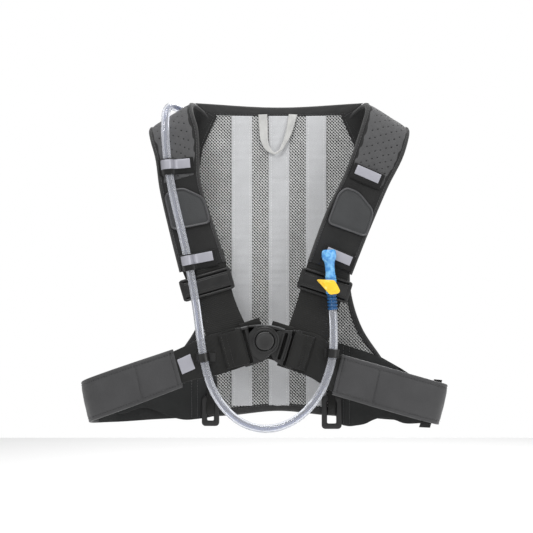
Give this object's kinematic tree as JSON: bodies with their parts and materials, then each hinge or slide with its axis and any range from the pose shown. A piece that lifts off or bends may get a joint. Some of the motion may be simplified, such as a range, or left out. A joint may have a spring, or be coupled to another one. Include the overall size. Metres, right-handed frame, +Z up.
{
  "type": "hydration pack",
  "caption": "Slim zipped pack on a mesh-backed vest harness, with a drinking hose over the left shoulder, a centre push buckle and folded belt wings.",
  "frame": {"origin": "middle of the back panel, on the face that lies against the wearer's back", "axes": "+X to the right seen from the front of the harness, +Y from the harness back into the pack, +Z up as worn"},
  "size_m": [0.4343, 0.1539, 0.3908],
  "materials": {
    "spacer_mesh": "knitted spacer mesh",
    "binding": "woven binding",
    "strip_fabric": "smooth light grey",
    "white_webbing": "woven",
    "pack_fabric": "plain weave",
    "webbing": "ribbed weave",
    "zip_coil": "coil",
    "zip_metal": "painted black",
    "black_plastic": "fine texture",
    "button_plastic": "satin",
    "clear_tpu": "translucent film",
    "blue_plastic": "gloss",
    "clear_hose": "clear tube",
    "rubber": "matte",
    "dark_blue_rubber": "satin",
    "yellow_plastic": "gloss",
    "blue_silicone": "translucent",
    "perforated_foam": "perforated",
    "coated_fabric": "smooth coated",
    "reflective_tape": "reflective",
    "elastic": "ribbed elastic"
  },
  "bodies": {
    "pack": {"armhole_binding_left": "binding", "armhole_binding_right": "binding", "back_panel": "spacer_mesh", "belt_reflector": "reflective_tape", "belt_ring_left": "black_plastic", "belt_ring_right": "black_plastic", "belt_wing_left": "coated_fabric", "belt_wing_right": "coated_fabric", "bite_valve": "blue_silicone", "bladder": "clear_tpu", "bladder_hanger": "webbing", "bottom_binding": "binding", "buckle_housing": "black_plastic", "drink_tube": "clear_hose", "front_strap_left": "webbing", "front_strap_right": "webbing", "gear_loop_lower_right": "elastic", "gear_loop_upper_right": "elastic", "hang_loop": "white_webbing", "hose_connector": "blue_plastic", "inner_tube": "clear_hose", "loop_reflectors_left": "reflective_tape", "loop_reflectors_right": "reflective_tape", "lower_strap_left": "webbing", "lower_strap_right": "webbing", "main_zip_tape": "webbing", "main_zip_teeth": "zip_coil", "neck_binding": "binding", "pack_shell": "pack_fabric", "pocket_shell": "pack_fabric", "pocket_zip_tape": "webbing", "pocket_zip_teeth": "zip_coil", "ring_tabs": "webbing", "shoulder_pad_left": "perforated_foam", "shoulder_pad_right": "perforated_foam", "spine_strips": "strip_fabric", "strap_pocket_left": "coated_fabric", "strap_pocket_right": "coated_fabric", "strap_wrap_left": "webbing", "tube_clip_left": "black_plastic", "tube_clip_right": "black_plastic", "tube_loop_lower_left": "elastic", "tube_loop_upper_left": "elastic", "tube_port": "rubber", "valve_body": "dark_blue_rubber", "valve_collar": "dark_blue_rubber", "yoke_patches": "binding"},
    "button": {"buckle_button": "button_plastic"},
    "tongue": {"buckle_tongue": "black_plastic", "strap_wrap_right": "webbing"},
    "lever": {"shutoff_lever": "yellow_plastic"},
    "main_slider": {"main_zip_slider": "zip_metal"},
    "main_pull": {"main_zip_pull": "black_plastic"},
    "pocket_slider": {"pocket_zip_slider": "zip_metal"},
    "pocket_pull": {"pocket_zip_pull": "black_plastic"},
    "cap": {"fill_cap": "blue_plastic"},
    "adjuster_left": {"strap_adjuster_left": "black_plastic"},
    "adjuster_right": {"strap_adjuster_right": "black_plastic"}
  },
  "joints": [
    {"name": "button_press", "type": "slide", "parent": "pack", "child": "button", "axis": [0, 1, 0], "range_m": [0, 0.0022], "stiffness_N_per_m": 900},
    {"name": "tongue_slide", "type": "slide", "parent": "pack", "child": "tongue", "axis": [0.9564, 0, -0.2921], "range_m": [0, 0.013]},
    {"name": "lever_turn", "type": "hinge", "parent": "pack", "child": "lever", "pos_m": [0.0602, -0.0625, -0.03192], "axis": [0, 1, 0], "range_deg": [0, 90]},
    {"name": "main_zip_slide", "type": "slide", "parent": "pack", "child": "main_slider", "axis": [0, 0, -1], "range_m": [0, 0.185]},
    {"name": "main_pull_swing", "type": "hinge", "parent": "main_slider", "child": "main_pull", "pos_m": [0.052, 0.0607, 0.0865], "axis": [1, 0, 0], "range_deg": [0, 170]},
    {"name": "pocket_zip_slide", "type": "slide", "parent": "pack", "child": "pocket_slider", "axis": [0, 0, -1], "range_m": [0, 0.125]},
    {"name": "pocket_pull_swing", "type": "hinge", "parent": "pocket_slider", "child": "pocket_pull", "pos_m": [-0.002, 0.0787, 0.0315], "axis": [1, 0, 0], "range_deg": [0, 170]},
    {"name": "fill_cap_turn", "type": "hinge", "parent": "pack", "child": "cap", "pos_m": [0.01, 0.044, 0.07], "axis": [0, 1, 0], "range_deg": [0, 90]},
    {"name": "adjuster_left_slide", "type": "slide", "parent": "pack", "child": "adjuster_left", "axis": [0.2756, 0, -0.9613], "range_m": [0, 0.018]},
    {"name": "adjuster_right_slide", "type": "slide", "parent": "pack", "child": "adjuster_right", "axis": [-0.3007, 0, -0.9537], "range_m": [0, 0.018]}
  ]
}
